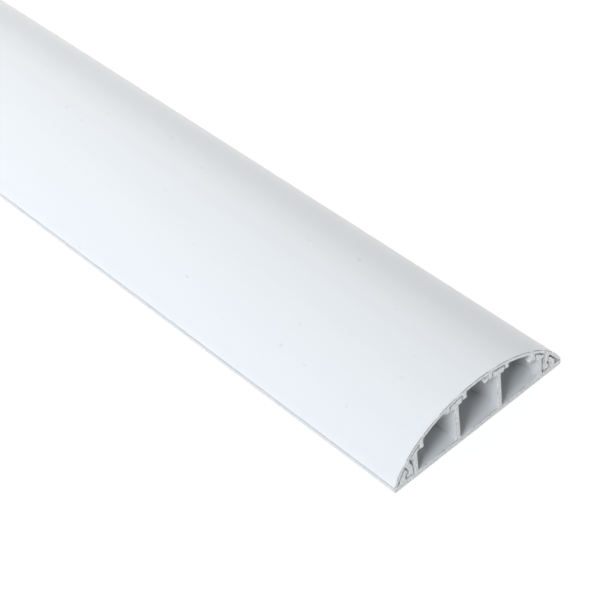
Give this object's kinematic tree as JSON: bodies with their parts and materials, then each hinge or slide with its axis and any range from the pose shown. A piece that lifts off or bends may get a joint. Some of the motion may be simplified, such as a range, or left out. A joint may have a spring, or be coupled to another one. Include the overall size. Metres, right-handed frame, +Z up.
{
  "type": "cable trunking",
  "caption": "Half-round floor cable trunking: a flat base with upright dividers and side pockets, closed by an arched cover that clips on.",
  "frame": {"origin": "middle of the underside of the base, on the floor", "axes": "+X along the length, +Y across the width, +Z up through the crown of the cover"},
  "size_m": [2, 0.07, 0.02],
  "materials": {
    "base_plastic": "satin",
    "cover_plastic": "satin"
  },
  "bodies": {
    "base": {"base": "base_plastic"},
    "cover": {"cover": "cover_plastic"}
  },
  "joints": [
    {"name": "cover_slide", "type": "slide", "parent": "base", "child": "cover", "axis": [1, 0, 0], "range_m": [-2, 2]}
  ]
}
